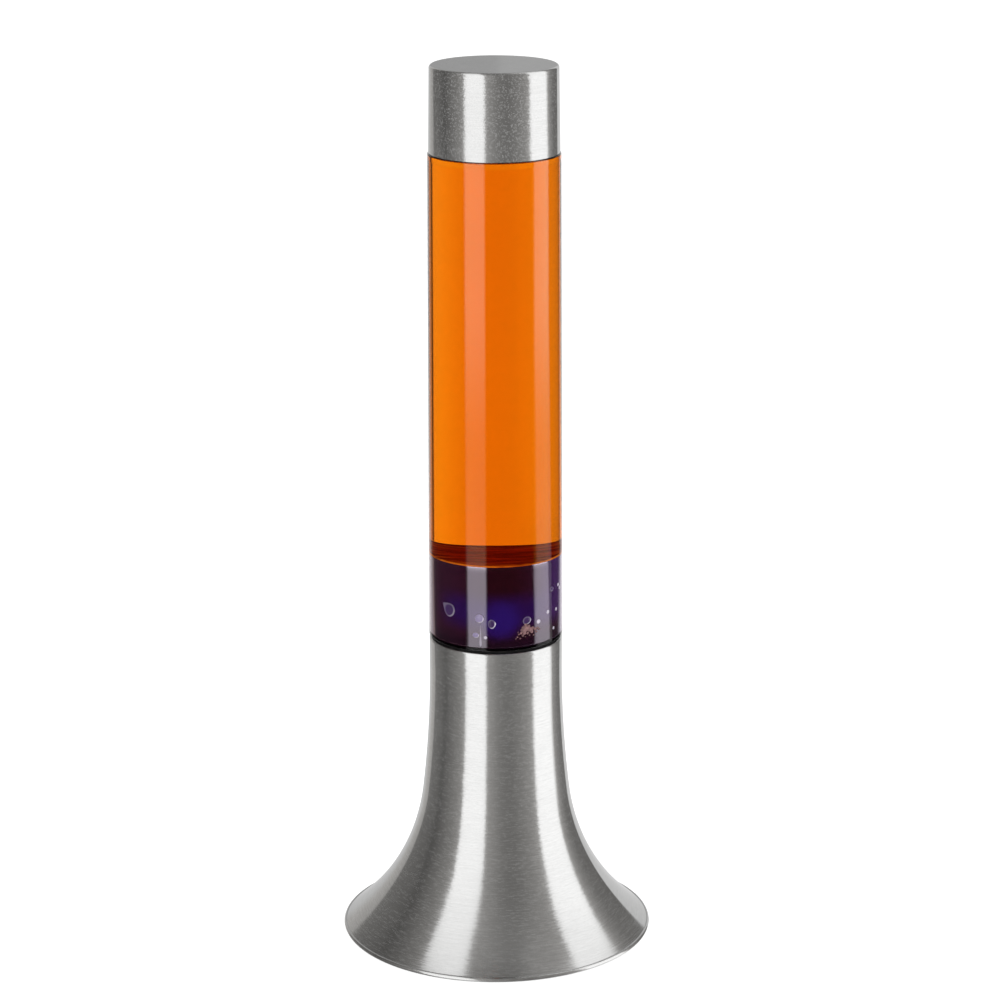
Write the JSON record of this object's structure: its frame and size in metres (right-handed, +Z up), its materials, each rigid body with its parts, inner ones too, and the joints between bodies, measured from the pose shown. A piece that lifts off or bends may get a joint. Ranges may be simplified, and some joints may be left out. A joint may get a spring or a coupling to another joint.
{
  "type": "liquid motion lamp",
  "caption": "Liquid motion lamp: trumpet metal base with a screw-in reflector bulb, lift-off glass of orange liquid and dark wax, and a lift-off metal cap.",
  "frame": {"origin": "on the floor under the centre of the base", "axes": "+Z up along the lamp's axis; -Y is the side seen in the picture; the cord inlet is on the +Y side"},
  "size_m": [0.1342, 0.1342, 0.381],
  "materials": {
    "spun_aluminium": "satin",
    "black_steel": "satin",
    "gasket_rubber": "matte",
    "foot_rubber": "matte",
    "zinc_steel": "satin",
    "bush_plastic": "matte",
    "holder_plastic": "satin",
    "holder_ceramic": "matte",
    "brass": "satin",
    "solder": "satin",
    "bulb_vitrite": "gloss",
    "bulb_glass": "gloss",
    "bulb_stem_glass": "gloss",
    "tungsten": "satin",
    "vessel_glass": "gloss",
    "crown_steel": "gloss",
    "crown_seal": "matte",
    "carrier_liquid": "gloss",
    "wax": "satin",
    "coil_wire": "satin",
    "cap_plastic": "matte"
  },
  "bodies": {
    "base": {"base_shell": "spun_aluminium", "cradle": "black_steel", "seat_ring": "gasket_rubber", "base_plate": "black_steel", "feet": "foot_rubber", "threaded_tube": "zinc_steel", "tube_nuts": "zinc_steel", "lock_washers": "zinc_steel", "cord_bush": "bush_plastic", "holder_cap": "holder_plastic", "holder_lock_screw": "zinc_steel", "holder_skirt": "holder_plastic", "holder_insert": "holder_ceramic", "holder_screw": "brass", "holder_contact": "brass", "terminal_screws": "brass"},
    "bulb_tip": {"bulb_contact": "solder", "bulb_insulator": "bulb_vitrite"},
    "bulb": {"bulb_screw": "brass", "bulb_glass": "bulb_glass", "bulb_stem": "bulb_stem_glass", "bulb_filament": "tungsten"},
    "globe": {"glass_vessel": "vessel_glass", "crown_cap": "crown_steel", "crown_liner": "crown_seal", "carrier_liquid": "carrier_liquid", "wax": "wax", "heat_coil": "coil_wire"},
    "cap": {"cap_shell": "spun_aluminium", "cap_liner": "cap_plastic"}
  },
  "joints": [
    {"name": "globe_lift", "type": "slide", "parent": "base", "child": "globe", "axis": [0, 0, 1], "range_m": [0, 0.08]},
    {"name": "cap_lift", "type": "slide", "parent": "globe", "child": "cap", "axis": [0, 0, 1], "range_m": [0, 0.06]},
    {"name": "bulb_rise", "type": "slide", "parent": "base", "child": "bulb_tip", "axis": [0, 0, 1], "range_m": [0, 0.0113]},
    {"name": "bulb_turn", "type": "hinge", "parent": "bulb_tip", "child": "bulb", "pos_m": [0, 0, 0.0461], "axis": [0, 0, 1], "range_deg": [0, 1440]}
  ],
  "couplings": [
    {"joint": "bulb_rise", "follows": "bulb_turn", "m_per_rad": 0.00044914}
  ]
}
